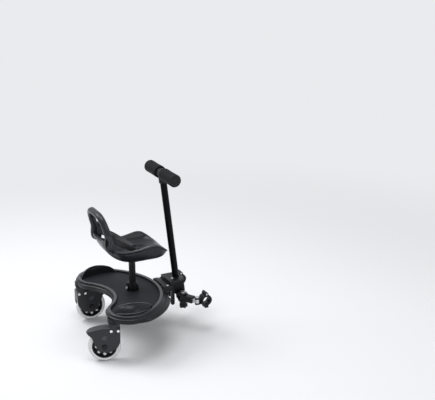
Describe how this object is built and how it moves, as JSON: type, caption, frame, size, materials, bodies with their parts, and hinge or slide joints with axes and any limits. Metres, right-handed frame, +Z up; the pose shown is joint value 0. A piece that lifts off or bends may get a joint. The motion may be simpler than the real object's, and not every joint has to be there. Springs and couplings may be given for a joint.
{
  "type": "buggy board",
  "caption": "Ride-on buggy board: kidney-shaped deck on swivel casters, scoop saddle with hoop back and belt, tee handle, and splayed axle-clamp arms.",
  "frame": {"origin": "middle of the axle that the two front clamps hold, on the board's mid-plane", "axes": "+X to the board's right along the axle, +Y forward in the direction of travel, +Z up"},
  "size_m": [0.438, 0.436, 0.5475],
  "materials": {
    "deck_plastic": "charcoal moulded polypropylene, fine grain",
    "seat_plastic": "charcoal moulded polypropylene, fine grain",
    "black_plastic": "black moulded plastic",
    "fork_plastic": "dark grey moulded plastic",
    "button_plastic": "grey gloss plastic",
    "clear_tyre": "frosted clear polyurethane",
    "grip_rubber": "black foam rubber",
    "pole_paint": "black powder coat on steel tube",
    "steel": "zinc plated steel",
    "bright_screw": "bright plated screw heads",
    "webbing": "black woven webbing"
  },
  "bodies": {
    "hitch": {"yoke": "black_plastic", "hinge_pin": "steel", "arm_bolt_left": "steel", "arm_bolt_right": "steel"},
    "deck": {"deck_shell": "deck_plastic", "cross_plate": "black_plastic", "cross_plate_screws": "bright_screw", "hitch_block": "black_plastic", "height_screws": "black_plastic", "post_collar": "black_plastic", "swivel_bush_left": "steel", "swivel_bush_right": "steel"},
    "handle": {"handle_pole": "pole_paint", "handle_tee": "black_plastic", "handle_bar": "steel", "grip_left": "grip_rubber", "grip_right": "grip_rubber", "grip_cap_left": "black_plastic", "grip_cap_right": "black_plastic"},
    "handle_button": {"handle_button": "button_plastic"},
    "saddle": {"seat_post": "black_plastic", "seat_shell": "seat_plastic", "backrest_hoop": "seat_plastic", "belt_clip_left": "black_plastic", "belt_clip_right": "black_plastic", "belt_web_left": "webbing", "belt_web_right": "webbing", "buckle_socket": "black_plastic", "buckle_plug": "black_plastic"},
    "collar_button": {"collar_button": "button_plastic"},
    "caster_left": {"caster_fork_left": "fork_plastic", "swivel_stem_left": "steel", "caster_axle_left": "black_plastic", "caster_screws_left": "bright_screw"},
    "wheel_left": {"tyre_left": "clear_tyre", "wheel_hub_left": "black_plastic", "wheel_bearings_left": "steel"},
    "knob_left": {"arm_knob_left": "black_plastic"},
    "arm_left": {"arm_sleeve_left": "black_plastic"},
    "slide_left": {"arm_slide_left": "steel"},
    "clamp_left": {"clamp_body_left": "black_plastic", "clamp_bolt_left": "steel", "jaw_pin_left": "steel"},
    "jaw_left": {"clamp_jaw_left": "black_plastic"},
    "caster_right": {"caster_fork_right": "fork_plastic", "swivel_stem_right": "steel", "caster_axle_right": "black_plastic", "caster_screws_right": "bright_screw"},
    "wheel_right": {"tyre_right": "clear_tyre", "wheel_hub_right": "black_plastic", "wheel_bearings_right": "steel"},
    "knob_right": {"arm_knob_right": "black_plastic"},
    "arm_right": {"arm_sleeve_right": "black_plastic"},
    "slide_right": {"arm_slide_right": "steel"},
    "clamp_right": {"clamp_body_right": "black_plastic", "clamp_bolt_right": "steel", "jaw_pin_right": "steel"},
    "jaw_right": {"clamp_jaw_right": "black_plastic"}
  },
  "joints": [
    {"name": "deck_lift", "type": "hinge", "parent": "hitch", "child": "deck", "pos_m": [0, -0.057, 0], "axis": [-1, 0, 0], "range_deg": [0, 60]},
    {"name": "handle_pull", "type": "slide", "parent": "deck", "child": "handle", "axis": [0, -0.1132, 0.9936], "range_m": [0, 0.04]},
    {"name": "handle_button_press", "type": "slide", "parent": "deck", "child": "handle_button", "axis": [0, 0, -1], "range_m": [0, 0.003], "stiffness_N_per_m": 900},
    {"name": "saddle_lift", "type": "slide", "parent": "deck", "child": "saddle", "axis": [0, 0, 1], "range_m": [0, 0.026]},
    {"name": "collar_button_press", "type": "slide", "parent": "deck", "child": "collar_button", "axis": [0, 1, 0], "range_m": [0, 0.003], "stiffness_N_per_m": 900},
    {"name": "caster_swivel_left", "type": "hinge", "parent": "deck", "child": "caster_left", "pos_m": [-0.157, -0.337, 0.015], "axis": [0, 0, 1], "continuous": true},
    {"name": "wheel_spin_left", "type": "hinge", "parent": "caster_left", "child": "wheel_left", "pos_m": [-0.157, -0.306, -0.062], "axis": [-1, 0, 0], "continuous": true},
    {"name": "arm_spread_left", "type": "hinge", "parent": "hitch", "child": "arm_left", "pos_m": [-0.053, -0.057, 0], "axis": [0, 0, 1], "range_deg": [-25, 20]},
    {"name": "arm_knob_turn_left", "type": "hinge", "parent": "hitch", "child": "knob_left", "pos_m": [-0.053, -0.057, -0.022], "axis": [0, 0, 1], "continuous": true},
    {"name": "arm_slide_out_left", "type": "slide", "parent": "arm_left", "child": "slide_left", "axis": [-0.8591, 0.5118, 0], "range_m": [0, 0.012]},
    {"name": "clamp_turn_left", "type": "hinge", "parent": "slide_left", "child": "clamp_left", "pos_m": [-0.1, -0.029, 0], "axis": [0, 0, 1], "range_deg": [-20, 20]},
    {"name": "jaw_open_left", "type": "hinge", "parent": "clamp_left", "child": "jaw_left", "pos_m": [-0.1, 0, 0.0215], "axis": [1, 0, 0], "range_deg": [0, 70]},
    {"name": "caster_swivel_right", "type": "hinge", "parent": "deck", "child": "caster_right", "pos_m": [0.157, -0.337, 0.015], "axis": [0, 0, 1], "continuous": true},
    {"name": "wheel_spin_right", "type": "hinge", "parent": "caster_right", "child": "wheel_right", "pos_m": [0.14589, -0.36594, -0.062], "axis": [0.9336, -0.3584, 0], "continuous": true},
    {"name": "arm_spread_right", "type": "hinge", "parent": "hitch", "child": "arm_right", "pos_m": [0.053, -0.057, 0], "axis": [0, 0, -1], "range_deg": [-25, 20]},
    {"name": "arm_knob_turn_right", "type": "hinge", "parent": "hitch", "child": "knob_right", "pos_m": [0.053, -0.057, -0.022], "axis": [0, 0, 1], "continuous": true},
    {"name": "arm_slide_out_right", "type": "slide", "parent": "arm_right", "child": "slide_right", "axis": [0.8591, 0.5118, 0], "range_m": [0, 0.012]},
    {"name": "clamp_turn_right", "type": "hinge", "parent": "slide_right", "child": "clamp_right", "pos_m": [0.1, -0.029, 0], "axis": [0, 0, -1], "range_deg": [-20, 20]},
    {"name": "jaw_open_right", "type": "hinge", "parent": "clamp_right", "child": "jaw_right", "pos_m": [0.1, 0, 0.0215], "axis": [1, 0, 0], "range_deg": [0, 70]}
  ]
}
